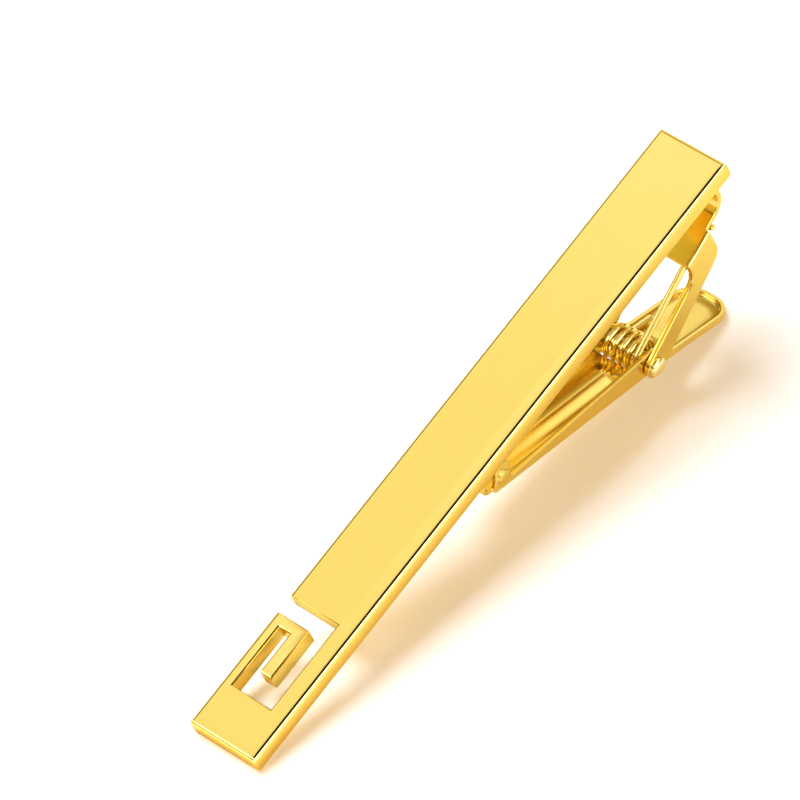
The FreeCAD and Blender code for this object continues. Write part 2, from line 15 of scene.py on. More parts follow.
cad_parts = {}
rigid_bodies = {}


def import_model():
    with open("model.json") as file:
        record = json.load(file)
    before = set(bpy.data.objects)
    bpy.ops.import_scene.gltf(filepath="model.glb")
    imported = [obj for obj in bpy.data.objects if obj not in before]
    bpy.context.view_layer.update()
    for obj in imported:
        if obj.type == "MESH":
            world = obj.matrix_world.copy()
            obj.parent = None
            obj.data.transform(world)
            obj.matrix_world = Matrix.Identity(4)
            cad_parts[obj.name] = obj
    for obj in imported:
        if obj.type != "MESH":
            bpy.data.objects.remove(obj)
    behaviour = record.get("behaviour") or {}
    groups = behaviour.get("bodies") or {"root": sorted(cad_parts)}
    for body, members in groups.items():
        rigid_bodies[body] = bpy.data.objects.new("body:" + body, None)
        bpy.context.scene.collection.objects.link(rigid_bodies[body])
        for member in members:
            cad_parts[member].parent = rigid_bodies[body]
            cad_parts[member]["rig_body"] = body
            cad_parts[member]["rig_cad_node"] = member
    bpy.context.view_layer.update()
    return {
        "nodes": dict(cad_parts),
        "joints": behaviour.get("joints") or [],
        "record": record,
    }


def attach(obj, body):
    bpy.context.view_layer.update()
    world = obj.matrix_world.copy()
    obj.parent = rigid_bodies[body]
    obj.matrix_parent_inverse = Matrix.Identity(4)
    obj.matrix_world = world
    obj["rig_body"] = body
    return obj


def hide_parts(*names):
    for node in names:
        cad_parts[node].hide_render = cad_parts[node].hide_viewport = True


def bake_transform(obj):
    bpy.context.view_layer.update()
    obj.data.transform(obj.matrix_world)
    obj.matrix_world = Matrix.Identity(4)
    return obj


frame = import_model()
MM = 0.001
print("nodes:", sorted(frame["nodes"]))

# %% [markdown]
# ## Frames to work in
#
# The bar leans on the table, so its own directions are no longer X and Z, and the jaw
# leans another way. Every place could be worked out in the table's directions, but a
# matrix that carries points from a piece's own frame to the table saves those sums.
# The lean is read from the mount on the front face, and the pivot from the joint, so
# both follow the CAD part if it changes.

# %% Frames of the bar, the jaw and its thumb end
PIVOT_ON_BAR = Vector((46.8, 0, -10.4)) * MM
JAW_ANGLE = math.radians(24)
JAW_BEND = math.radians(4)

mounts = {mount["name"]: mount for mount in frame["record"]["mounts"]}
face_normal = Vector(mounts["front_face"]["axis"])
lean = math.atan2(-face_normal.x, face_normal.z)
pivot = Vector(frame["joints"][0]["pos_m"])

lean_turn = Matrix.Rotation(-lean, 4, "Y")
bar_frame = Matrix.Translation(pivot - lean_turn.to_3x3() @ PIVOT_ON_BAR) @ lean_turn
at_pivot = Matrix.Translation(pivot)
jaw_frame = at_pivot @ Matrix.Rotation(JAW_ANGLE - lean, 4, "Y")
thumb_frame = at_pivot @ Matrix.Rotation(JAW_ANGLE + JAW_BEND - lean, 4, "Y")
print(f"lean {math.degrees(lean):.2f} degrees, pivot {pivot / MM} mm")

# %% [markdown]
# ## Camera
#
# The photo was taken from far away with a long lens, so its lines stay nearly
# parallel. A camera could be placed by eye, but a small error shows on long straight
# edges. So it was fitted to the bar's corners beforehand, and its place and its three
# directions are given in the bar's frame: they are the columns of a matrix.

# %% Camera
CAMERA_PLACE = Vector((-121.060, -290.597, 517.885)) * MM
CAMERA_RIGHT = Vector((0.60346, -0.75477, -0.25722))
CAMERA_UP = Vector((0.75839, 0.44361, 0.47754))
CAMERA_BACK = CAMERA_RIGHT.cross(CAMERA_UP)

camera_data = bpy.data.cameras.new("photo_camera")
camera_data.lens = 360.0
camera_data.sensor_width = 36.0
camera_data.clip_start = 0.01
camera_data.clip_end = 20.0
camera = bpy.data.objects.new("photo_camera", camera_data)
bpy.context.scene.collection.objects.link(camera)
columns = (CAMERA_RIGHT, CAMERA_UP, CAMERA_BACK, CAMERA_PLACE)
view_rows = [[column[row] for column in columns] for row in range(3)]
camera.matrix_world = bar_frame @ Matrix(view_rows + [[0, 0, 0, 1]])
bpy.context.scene.camera = camera
print("camera at", [round(x / MM, 1) for x in camera.matrix_world.translation], "mm")

# %% [markdown]
# ## Gold plate
#
# Plated brass is a mirror with a colour, so the shader is fully metallic and its base
# colour is the colour of a reflection. One plain colour would do, but real plating is
# never quite even: it has faint clouds where the polish is a little duller. One node
# group makes those clouds from noise, and each finish uses it with its own values.

# %% A node group for uneven polish
SOCKETS = [
    ("Colour", "INPUT", "NodeSocketColor"),
    ("Duller Colour", "INPUT", "NodeSocketColor"),
    ("Cloud Scale", "INPUT", "NodeSocketFloat"),
    ("Least Roughness", "INPUT", "NodeSocketFloat"),
    ("Most Roughness", "INPUT", "NodeSocketFloat"),
    ("Colour", "OUTPUT", "NodeSocketColor"),
    ("Roughness", "OUTPUT", "NodeSocketFloat"),
]

polish = bpy.data.node_groups.new("UnevenPolish", "ShaderNodeTree")
for socket, way, kind in SOCKETS:
    polish.interface.new_socket(socket, in_out=way, socket_type=kind)
print("polish sockets:", len(polish.interface.items_tree))

# %% The clouds inside the group
inputs = polish.nodes.new("NodeGroupInput")
outputs = polish.nodes.new("NodeGroupOutput")
coordinates = polish.nodes.new("ShaderNodeTexCoord")
clouds = polish.nodes.new("ShaderNodeTexNoise")
clouds.inputs["Detail"].default_value = 3.0
tone = polish.nodes.new("ShaderNodeMix")
tone.data_type = "RGBA"
rough = polish.nodes.new("ShaderNodeMapRange")
link = polish.links.new
link(coordinates.outputs["Object"], clouds.inputs["Vector"])
link(inputs.outputs["Cloud Scale"], clouds.inputs["Scale"])
link(clouds.outputs["Fac"], tone.inputs["Factor"])
link(inputs.outputs["Colour"], tone.inputs["A"])
link(inputs.outputs["Duller Colour"], tone.inputs["B"])
link(clouds.outputs["Fac"], rough.inputs["Value"])
link(inputs.outputs["Least Roughness"], rough.inputs["To Min"])
link(inputs.outputs["Most Roughness"], rough.inputs["To Max"])
link(tone.outputs["Result"], outputs.inputs["Colour"])
link(rough.outputs["Result"], outputs.inputs["Roughness"])
print("polish links:", len(polish.links))

# %% [markdown]
# ## Six finishes
#
# The bar is buffed to a mirror, while the pressed clasp is only tumbled and its gold is
# set darker than the bar's. The wire has a tone of its own. The rivet's gold is paler,
# which is painted light that brightens its heads, and the bar's walls get a darker gold,
# which is painted shade. One gold for all would look like a casting. So one function
# builds a finish from a colour, its duller tone and the two roughnesses between which the
# clouds move.

# %% Finishes
EDGE_TINT = (1.0, 0.78, 0.36)
CLOUD_SCALE = 300.0


def gold_plate(name, colour, duller, least, most):
    """A gold whose colour and roughness drift between two values."""
    material = bpy.data.materials.new(name)
    material.use_nodes = True
    nodes = material.node_tree.nodes
    shader = nodes["Principled BSDF"]
    shader.inputs["Metallic"].default_value = 1.0
    shader.inputs["Specular Tint"].default_value = (*EDGE_TINT, 1.0)
    clouds = nodes.new("ShaderNodeGroup")
    clouds.node_tree = polish
    clouds.inputs["Colour"].default_value = (*colour, 1.0)
    clouds.inputs["Duller Colour"].default_value = (*duller, 1.0)
    clouds.inputs["Cloud Scale"].default_value = CLOUD_SCALE
    clouds.inputs["Least Roughness"].default_value = least
    clouds.inputs["Most Roughness"].default_value = most
    link = material.node_tree.links.new
    link(clouds.outputs["Colour"], shader.inputs["Base Color"])
    link(clouds.outputs["Roughness"], shader.inputs["Roughness"])
    return material


bar_gold = gold_plate("bar_gold", (1.0, 0.745, 0.205), (0.99, 0.725, 0.195), 0.08, 0.13)
clasp_gold = gold_plate("clasp_gold", (0.82, 0.605, 0.15), (0.79, 0.585, 0.14), 0.12, 0.20)
# Painted shade: the walls' gold is darker than the bar's.
shaded_wall_gold = gold_plate("shaded_wall_gold", (0.86, 0.635, 0.165), (0.83, 0.61, 0.155), 0.14, 0.22)
jaw_gold = gold_plate("jaw_gold", (0.85, 0.635, 0.165), (0.82, 0.615, 0.155), 0.18, 0.26)
# Painted light: the rivet's gold is paler, which brightens its heads.
brightened_rivet_gold = gold_plate("brightened_rivet_gold", (1.0, 0.92, 0.46), (0.98, 0.90, 0.44), 0.16, 0.24)
wire_gold = gold_plate("wire_gold", (0.94, 0.76, 0.26), (0.91, 0.73, 0.24), 0.10, 0.18)
finishes = (bar_gold, clasp_gold, shaded_wall_gold, jaw_gold, brightened_rivet_gold, wire_gold)
print("finishes:", [finish.name for finish in finishes])

# %% [markdown]
# ## A clean copy of the bar
#
# The bar is a flat strip with a key pattern cut through one end. It could be drawn
# again, but that would only risk its fit, so the CAD mesh is copied. It comes as loose
# triangles with normals of its own. The normals are cleared, because they would streak
# the rounded edges, the triangles are merged, and flat areas become whole faces.

# %% Copy the bar
MERGE_DISTANCE = 0.001 * MM
FLAT_ANGLE = math.radians(0.5)


def only(piece):
    """Leave edit mode and select this piece alone."""
    if bpy.context.mode != "OBJECT":
        bpy.ops.object.mode_set(mode="OBJECT")
    bpy.ops.object.select_all(action="DESELECT")
    bpy.context.view_layer.objects.active = piece
    piece.select_set(True)


def cad_copy(node):
    """A copy of a CAD node with its triangles merged into whole faces."""
    source = frame["nodes"][node]
    piece = source.copy()
    piece.data = source.data.copy()
    piece.name = f"{node}_plated"
    piece.parent = None
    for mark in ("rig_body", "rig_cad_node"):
        del piece[mark]
    bpy.context.scene.collection.objects.link(piece)
    only(piece)
    bpy.ops.mesh.customdata_custom_splitnormals_clear()
    bpy.ops.object.mode_set(mode="EDIT")
    bpy.ops.mesh.select_all(action="SELECT")
    bpy.ops.mesh.remove_doubles(threshold=MERGE_DISTANCE)
    bpy.ops.mesh.dissolve_limited(angle_limit=FLAT_ANGLE)
    bpy.ops.object.mode_set(mode="OBJECT")
    return piece


bar = cad_copy("front_bar")
print(f"{bar.name}: {len(bar.data.polygons)} whole faces")

# %% [markdown]
# ## The key's upper edges
#
# Polishing wears the edges round the key more than the long edges, so they show as
# bright lines. A bevel modifier gives all edges one width. Here the key's corners are
# picked by their place on the upper face, and only the edges between them are bevelled.

# %% Chamfer the key
BAR_TOP = 1.65 * MM
TOUCH = 0.01 * MM
KEY_START = 1.0 * MM
KEY_END = 30.0 * MM
KEY_HALF = 2.97 * MM
KEY_CHAMFER = 0.14 * MM


def pick(piece, faces=None, points=None):
    """In edit mode, select the faces or the points whose place passes the test."""
    only(piece)
    bpy.ops.object.mode_set(mode="EDIT")
    bpy.ops.mesh.select_mode(type="FACE" if faces else "VERT")
    bpy.ops.mesh.select_all(action="DESELECT")
    bpy.ops.object.mode_set(mode="OBJECT")
    for face in piece.data.polygons if faces else []:
        face.select = faces(face.center, face.normal)
    for point in piece.data.vertices if points else []:
        point.select = points(point.co)
    bpy.ops.object.mode_set(mode="EDIT")


def key_top(place):
    """Whether a point is a corner of the key on the bar's upper face."""
    place = bar_frame.inverted() @ place
    by_the_key = KEY_START < place.x < KEY_END and abs(place.y) < KEY_HALF
    return by_the_key and place.z > BAR_TOP - TOUCH


pick(bar, points=key_top)
print("key corners:", sum(point.select for point in bar.data.vertices))
bpy.ops.mesh.bevel(offset=KEY_CHAMFER, segments=2, affect="EDGES")

# %% [markdown]
# ## Strips along the edges
#
# The real face is a flat mirror that falls away softly just before its edges. Smooth
# shading gives that fall, but over one large face it would spread to the middle. Four
# cuts just inside the edges keep it in narrow strips. A plane cuts everywhere at once,
# so bisect is simpler than adding edges by hand.

# %% Cut the strips
BAR_LENGTH = 60.0 * MM
END_STRIP = 0.8 * MM
SIDE_STRIP = 2.5 * MM
ALONG = Vector((1, 0, 0))
ACROSS = Vector((0, 1, 0))
STRIP_CUTS = [
    (ALONG * END_STRIP, ALONG),
    (ALONG * (BAR_LENGTH - END_STRIP), ALONG),
    (ACROSS * SIDE_STRIP, ACROSS),
    (ACROSS * -SIDE_STRIP, ACROSS),
]

for place, way in STRIP_CUTS:
    only(bar)
    bpy.ops.object.mode_set(mode="EDIT")
    bpy.ops.mesh.select_all(action="SELECT")
    bpy.ops.mesh.bisect(plane_co=bar_frame @ place, plane_no=bar_frame.to_3x3() @ way)
only(bar)
print("faces after the cuts:", len(bar.data.polygons))

# %% [markdown]
# ## Soft edges
#
# No real metal edge is sharp: tumbling and plating leave a small round that catches the
# light, and much of the photo's sparkle is just that. A bevel modifier rounds each edge
# that is sharper than a set angle. Its clamp is off, because one very short edge would
# otherwise shrink every round to nothing. Weighted normals keep large faces flat; the
# bar goes without them, since its strips do that and its edges should fall softly.

# %% Round the bar
ROUND_SEGMENTS = 3
BAR_ROUND = 0.06 * MM


def round_edges(piece, width, sharp=35, smooth=40, even=True):
    """Round every edge over the sharp angle and shade those under the smooth one."""
    only(piece)
    rounding = piece.modifiers.new("rounding", "BEVEL")
    rounding.width = width
    rounding.segments = ROUND_SEGMENTS
    rounding.limit_method = "ANGLE"
    rounding.angle_limit = math.radians(sharp)
    rounding.use_clamp_overlap = False
    bpy.ops.object.modifier_apply(modifier=rounding.name)
    bpy.ops.object.shade_smooth_by_angle(angle=math.radians(smooth))
    if even:
        shading = piece.modifiers.new("even_shading", "WEIGHTED_NORMAL")
        shading.keep_sharp = True
        bpy.ops.object.modifier_apply(modifier=shading.name)


round_edges(bar, BAR_ROUND, sharp=60, smooth=20, even=False)
print("faces after rounding:", len(bar.data.polygons))

# %% [markdown]
# ## Two finishes on the bar
#
# The face and the back are buffed, but a wheel hardly reaches the narrow sides and the
# walls of the key, so these stay a little duller. Their gold is also darker than the
# bar's, which is painted shade on these sideways faces. The bar could be split in two
# pieces, but on the real one it is a single strip. So the mesh gets a second material
# slot, and the faces that look sideways are picked by their normals.

# %% Plate the bar
BACK_FACING = -0.99
SIDE_FACING = 0.15


def plate(piece, node, body, material):
    """Give a finished piece its plating and put it in the place of a CAD node."""
    piece.data.materials.clear()
    piece.data.materials.append(material)
    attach(piece, body)
    if node:
        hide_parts(node)
    print(f"{piece.name}: {len(piece.data.polygons)} faces")


plate(bar, "front_bar", "bar", bar_gold)
bar.data.materials.append(shaded_wall_gold)
# The sideways faces get the darker gold, which is painted shade.
pick(bar, faces=lambda middle, normal: BACK_FACING < normal.dot(face_normal) < SIDE_FACING)
bar.active_material_index = 1
bpy.ops.object.material_slot_assign()
only(bar)
print("duller faces:", sum(face.material_index == 1 for face in bar.data.polygons))

# %% [markdown]
# ## Hinge bracket
#
# The bracket is one strip of sheet: a tab on the bar's back, a half round bend, and a
# web with two folded ears that carry the rivet. Its form is all in the CAD solid, so a
# copy with soft edges is enough. The wider round shows as light along the folds.

# %% Bracket
BRACKET_ROUND = 0.11 * MM

bracket = cad_copy("hinge_bracket")
round_edges(bracket, BRACKET_ROUND)
plate(bracket, "hinge_bracket", "bar", clasp_gold)

# %% [markdown]
# ## Jaw with a dished thumb pan
#
# On the real jaw the thumb end is pressed into a smooth dish. The CAD pan has a flat
# floor. Sculpting could hollow it, but a few insets do it exactly: that one face is
# picked by its place and normal and inset again and again, each time a little wider
# and less deep, so the slope runs out into a flat middle.

# %% Dish the thumb pan
THUMB_FLOOR = -0.388 * MM
THUMB_START = 3.0 * MM
FLOOR_TOUCH = 0.05 * MM
UPWARD = 0.99
# Width and depth of each inset, in mm
DISH_STEPS = [(0.05, 0.10), (0.09, 0.08), (0.14, 0.06), (0.20, 0.04), (0.28, 0.025), (0.34, 0.01)]

jaw = cad_copy("clip_jaw")
to_thumb = thumb_frame.inverted()


def thumb_floor(middle, normal):
    """Whether a face is the flat floor of the thumb pan."""
    place = to_thumb @ middle
    looks_up = (to_thumb.to_3x3() @ normal).z > UPWARD
    return looks_up and place.x > THUMB_START and abs(place.z - THUMB_FLOOR) < FLOOR_TOUCH


pick(jaw, faces=thumb_floor)
print("thumb floor faces:", sum(face.select for face in jaw.data.polygons))
for width, depth in DISH_STEPS:
    bpy.ops.mesh.inset(thickness=width * MM, depth=-depth * MM)

# %% [markdown]
# ## Sill in front of the spring
#
# The floor ends just before the spring, and on the real part it comes close to the
# coil. In CAD there is more room there, so that the two solids stay clear. Adding a
# strip would leave a seam, so the few points of that edge are moved along the jaw.

# %% Draw the sill up to the coil
SILL_SHIFT = 0.30 * MM

to_jaw = jaw_frame.inverted()
jaw_turn = jaw_frame.to_3x3()


def on_jaw(low, high, first, last, half):
    """A test for places between two heights and two places along the jaw, in mm."""
    def test(place):
        place = to_jaw @ place / MM
        return low < place.z < high and first < place.x < last and abs(place.y) < half
    return test


pick(jaw, points=on_jaw(low=-1.03, high=-0.57, first=-1.62, last=-1.25, half=2.05))
print("points of the sill:", sum(point.select for point in jaw.data.vertices))
bpy.ops.transform.translate(value=jaw_turn @ Vector((SILL_SHIFT, 0, 0)))

# %% [markdown]
# ## A plain floor for the bead
#
# A bead is pressed into the floor, and the CAD solid has it as a rib with straight
# slopes. The smooth bead of the next steps would let the rib's corners poke through.
# So the rib's faces are deleted, and the two openings, above and below, are closed with
# flat faces. The lower one is set down a little, so the sheet keeps some thickness.

# %% Take off the rib and round the jaw
RIB_PLACE = {"first": -18.0, "last": -2.5, "half": 1.25}
CEILING_DROP = 0.10 * MM
JAW_ROUND = 0.10 * MM

on_rib = on_jaw(low=-0.595, high=0.0, **RIB_PLACE)
pick(jaw, faces=lambda middle, normal: on_rib(middle))
print("faces of the rib:", sum(face.select for face in jaw.data.polygons))
bpy.ops.mesh.delete(type="FACE")
bpy.ops.mesh.select_mode(type="EDGE")
bpy.ops.mesh.select_all(action="DESELECT")
bpy.ops.mesh.select_non_manifold(
    extend=False, use_wire=False, use_boundary=True,
    use_multi_face=False, use_non_contiguous=False, use_verts=False,
)
bpy.ops.mesh.fill_holes(sides=0)
on_ceiling = on_jaw(low=-0.57, high=-0.53, **RIB_PLACE)
pick(jaw, faces=lambda middle, normal: on_ceiling(middle))
print("faces of the groove's ceiling:", sum(face.select for face in jaw.data.polygons))
bpy.ops.transform.translate(value=jaw_turn @ Vector((0, 0, -CEILING_DROP)))
round_edges(jaw, JAW_ROUND)
plate(jaw, "clip_jaw", "jaw", jaw_gold)

# %% [markdown]
# ## Hinge rivet
#
# The rivet is a pin whose two ends are pressed into domed heads. It could be a profile
# spun round an axis, but a cylinder is quicker: each end cap is extruded in place, made
# wider for the head, and then pushed out and drawn in step by step until it is a dome.

# %% Press the heads
PIN_RADIUS = 0.55
EAR_OUTSIDE = 2.95
CAP_TOUCH = 0.002 * MM
AXIS_TOUCH = 0.01 * MM
# Radius and height of each step, in mm
HEAD_STEPS = [
    (0.83, 0.0), (0.83, 0.14), (0.79, 0.21), (0.70, 0.29),
    (0.56, 0.36), (0.38, 0.41), (0.18, 0.435), (0.02, 0.44),
]


def cap_at(level):
    """A test for the end cap at this height: the one face with its middle on the axis."""
    def test(middle, normal):
        return abs(middle.z - level) < CAP_TOUCH and middle.xy.length < AXIS_TOUCH
    return test


bpy.ops.object.select_all(action="DESELECT")
bpy.ops.mesh.primitive_cylinder_add(vertices=64, radius=PIN_RADIUS * MM, depth=2 * EAR_OUTSIDE * MM)
rivet = bpy.context.object
rivet.name = "pivot_rivet_pressed"
for side in (1, -1):
    radius, height = PIN_RADIUS, 0.0
    for next_radius, next_height in HEAD_STEPS:
        pick(rivet, faces=cap_at(side * (EAR_OUTSIDE + height) * MM))
        rise = (0, 0, side * (next_height - height) * MM)
        bpy.ops.mesh.extrude_region_move(TRANSFORM_OT_translate={"value": rise})
        grow = next_radius / radius
        bpy.ops.transform.resize(value=(grow, grow, 1))
        radius, height = next_radius, next_height
bpy.ops.mesh.select_all(action="SELECT")
bpy.ops.mesh.normals_make_consistent(inside=False)
only(rivet)
print("rivet length:", round(2 * max(point.co.z for point in rivet.data.vertices) / MM, 2), "mm")

# %% [markdown]
# The rivet was shaped upright at the origin. It is now laid along the hinge, and its
# place is applied to the mesh, so that the object itself stays at the origin.

# %% Set the rivet in the hinge
RIVET_SMOOTH = math.radians(35)

rivet.matrix_world = at_pivot @ Matrix.Rotation(math.pi / 2, 4, "X")
bpy.ops.object.transform_apply(location=True, rotation=True, scale=True)
bpy.ops.object.shade_smooth_by_angle(angle=RIVET_SMOOTH)
# The paler rivet gold is painted light on the heads.
plate(rivet, "pivot_rivet", "bar", brightened_rivet_gold)

# %% [markdown]
# ## Bead on the jaw's floor
#
# The long bead stiffens the thin floor, and its even swelling carries the clasp's
# longest highlight. A half capsule would meet the floor at a hard line. A fine grid is
# better: only its middle line is lifted, and proportional editing draws the rest along,
# less and less, until it runs into the floor on all sides.

# %% Raise the bead
BEAD_NEAR = -17.4 * MM
BEAD_FAR = -1.7 * MM
BEAD_HALF = 1.65 * MM
BEAD_HEIGHT = 0.52 * MM
BEAD_LENGTH = BEAD_FAR - BEAD_NEAR
CREST_TOUCH = 0.01 * MM

bpy.ops.object.select_all(action="DESELECT")
bpy.ops.mesh.primitive_grid_add(x_subdivisions=140, y_subdivisions=32, size=1.0)
bead = bpy.context.object
bead.name = "floor_bead"
only(bead)
bpy.ops.object.mode_set(mode="EDIT")
bpy.ops.mesh.select_all(action="SELECT")
bpy.ops.transform.resize(value=(BEAD_LENGTH, 2 * BEAD_HALF, 1))
crest_half = BEAD_LENGTH / 2 - BEAD_HALF
pick(bead, points=lambda place: abs(place.y) < CREST_TOUCH and abs(place.x) < crest_half)
print("points on the crest:", sum(point.select for point in bead.data.vertices))
bpy.ops.transform.translate(
    value=(0, 0, BEAD_HEIGHT),
    use_proportional_edit=True, proportional_edit_falloff="SMOOTH", proportional_size=BEAD_HALF,
)

# %% [markdown]
# The bead is laid on the floor a hair above it, because two faces in one plane would
# flicker. It rides on the jaw and takes the place of no CAD node.

# %% Lay the bead on the floor
FLOOR_TOP = -0.60 * MM
BEAD_LIFT = 0.004 * MM
BEAD_SMOOTH = math.radians(40)

only(bead)
print("bead height:", round(max(point.co.z for point in bead.data.vertices) / MM, 2), "mm")
bead_place = Vector(((BEAD_NEAR + BEAD_FAR) / 2, 0, FLOOR_TOP + BEAD_LIFT))
bead.matrix_world = jaw_frame @ Matrix.Translation(bead_place)
bpy.ops.object.transform_apply(location=True, rotation=True, scale=True)
bpy.ops.object.shade_smooth_by_angle(angle=BEAD_SMOOTH)
plate(bead, None, "jaw", jaw_gold)

# %% [markdown]
# ## Torsion spring: the coil
#
# The spring is one wire: a leg under the bracket, a coil round the pin and a leg on the
# thumb floor, which pushes the jaw shut. The CAD solid keeps its turns apart; the real
# one is wound closer. A screw modifier could wind a coil, but not its legs, so the wire
# is a curve with a round bevel, and a loop works out the coil's points. It starts and
# ends where a straight leg leaves the coil without a kink.

# %% The coil
WIRE = 0.56 * MM
COIL_RADIUS = 1.30 * MM
COIL_START = -1.68 * MM
COIL_END = 1.55 * MM
COIL_OFFSET = Vector((0.15, 0, 0.20)) * MM
TURNS = 4
STEPS_PER_TURN = 32
FULL_TURN = 2 * math.pi
WEB_ANGLE = math.radians(17)
WEB_EDGE = Vector((53.22, 0, -5.145)) * MM
LEG_CLEARANCE = WIRE / 2 + 0.05 * MM
LEG_SET_BACK = 0.25 * MM
LEG_LIFT = math.radians(48)

along_web = Vector((math.cos(WEB_ANGLE), 0, math.sin(WEB_ANGLE)))
below_web = Vector((math.sin(WEB_ANGLE), 0, -math.cos(WEB_ANGLE)))
leg_corner = WEB_EDGE + below_web * LEG_CLEARANCE + along_web * LEG_SET_BACK
coil_middle = bar_frame.inverted() @ pivot + COIL_OFFSET

to_corner = leg_corner - coil_middle
first_turn = math.atan2(to_corner.z, to_corner.x) + math.acos(COIL_RADIUS / to_corner.length)
last_turn = LEG_LIFT - math.pi / 2 - (JAW_ANGLE + JAW_BEND) + FULL_TURN * (TURNS + 1)
swept = last_turn - first_turn


def coil_point(turn):
    """The wire's place in the bar's frame after this much winding."""
    share = (turn - first_turn) / swept
    across = COIL_START + (COIL_END - COIL_START) * share
    return coil_middle + Vector((COIL_RADIUS * math.cos(turn), across, COIL_RADIUS * math.sin(turn)))


count = round(STEPS_PER_TURN * swept / FULL_TURN)
coil = [coil_point(first_turn + swept * step / count) for step in range(1, count)]
print(f"coil: {swept / FULL_TURN:.2f} turns, {len(coil)} points")

# %% [markdown]
# ## Torsion spring: the legs
#
# Each leg is bent from straight wire, so it has straight runs with small rounds between
# them. Smooth curve handles would bow the runs. So only the corners are given, and a
# helper puts an arc in each. The upper leg runs under the web and hooks out behind the
# near ear; the lower leg leaves the coil and lies along the thumb pan.


# %% The upper leg
def rounded(corners, radius, steps=8):
    """Points along straight runs, with each inner corner rounded."""
    points = [corners[0]]
    for before, corner, after in zip(corners, corners[1:], corners[2:]):
        back_way = (before - corner).normalized()
        on_way = (after - corner).normalized()
        half = back_way.angle(on_way) / 2
        reach = radius / math.tan(half)
        hub = corner + (back_way + on_way).normalized() * radius / math.sin(half)
        start = corner + back_way * reach - hub
        turn = start.rotation_difference(corner + on_way * reach - hub)
        for step in range(steps + 1):
            points.append(hub + Quaternion().slerp(turn, step / steps) @ start)
    return points + [corners[-1]]


LEG_ROUND = 0.6 * MM
EAR_ROOT = 3.26 * MM
LEG_TIP_SIDE = -2.60 * MM
LEG_HOOK_SIDE = -1.75 * MM
LEG_CORNER_SIDE = -2.055 * MM

leg_run = (EAR_ROOT + LEG_CLEARANCE) / math.cos(WEB_ANGLE)
leg_end = WEB_EDGE + below_web * LEG_CLEARANCE + along_web * leg_run
upper_leg = rounded([
    Vector((leg_end.x, LEG_TIP_SIDE, leg_end.z)),
    Vector((leg_end.x, LEG_HOOK_SIDE, leg_end.z)),
    Vector((leg_corner.x, LEG_CORNER_SIDE, leg_corner.z)),
    coil_point(first_turn),
], LEG_ROUND)
print(f"upper leg: {len(upper_leg)} points")

# %% The lower leg
LEG_HEIGHT = -0.24 * MM
LEG_REACH = 4.6 * MM

thumb_to_bar = bar_frame.inverted() @ thumb_frame
leave = thumb_to_bar.inverted() @ coil_point(last_turn)
drop_end = leave.x + (LEG_HEIGHT - leave.z) / math.tan(LEG_LIFT)
lower_corners = [
    Vector((leave.x, COIL_END, leave.z)),
    Vector((drop_end, COIL_END, LEG_HEIGHT)),
    Vector((LEG_REACH, COIL_END, LEG_HEIGHT)),
]
lower_leg = [thumb_to_bar @ point for point in rounded(lower_corners, LEG_ROUND)]
wire_path = [bar_frame @ point for point in upper_leg + coil + lower_leg]
print(f"lower leg: {len(lower_leg)} points, whole wire: {len(wire_path)} points")

# %% [markdown]
# ## Torsion spring: the wire
#
# Wire is drawn to one thickness and cut straight across. A curve's round bevel gives
# just that, with caps on both ends, which is simpler than sweeping a circle by hand.
# The curve is then made a mesh, because a finished piece has to be one.

# %% The wire as a mesh
WIRE_SMOOTH = math.radians(50)

wire_data = bpy.data.curves.new("torsion_spring_wound", "CURVE")
wire_data.dimensions = "3D"
wire_data.bevel_depth = WIRE / 2
wire_data.bevel_resolution = 4
wire_data.use_fill_caps = True
run = wire_data.splines.new("POLY")
run.points.add(len(wire_path) - 1)
for point, place in zip(run.points, wire_path):
    point.co = (*place, 1.0)
spring = bpy.data.objects.new("torsion_spring_wound", wire_data)
bpy.context.scene.collection.objects.link(spring)
only(spring)
bpy.ops.object.convert(target="MESH")
spring = bpy.context.view_layer.objects.active
bpy.ops.object.shade_smooth_by_angle(angle=WIRE_SMOOTH)
spring.data.materials.clear()
spring.data.materials.append(wire_gold)
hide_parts("torsion_spring")
print(f"{spring.name}: {len(spring.data.polygons)} faces")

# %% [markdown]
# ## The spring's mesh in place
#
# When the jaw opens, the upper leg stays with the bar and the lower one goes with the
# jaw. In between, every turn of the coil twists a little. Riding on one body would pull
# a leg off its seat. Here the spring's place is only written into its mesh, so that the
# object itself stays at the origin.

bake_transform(spring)

# %% [markdown]
# ## Table
#
# The clip lies on plain white. A floor that glows all over would be white but show no
# shadow. So only a small share of it glows, for the camera and for reflections, and the
# rest is an ordinary matt surface that keeps the shadow.

# %% A flat table
TABLE_SIZE = 6.0

bpy.ops.object.select_all(action="DESELECT")
bpy.ops.mesh.primitive_plane_add(size=TABLE_SIZE, location=(0, 0, 0))
table = bpy.context.object
table.name = "table"
print(f"table: {TABLE_SIZE} m wide")

# %% Its white surface
MATT_WHITE = (0.90, 0.90, 0.90, 1.0)
GLOW_WHITE = (1.0, 1.0, 1.0, 1.0)
GLOW_SHARE = 0.06

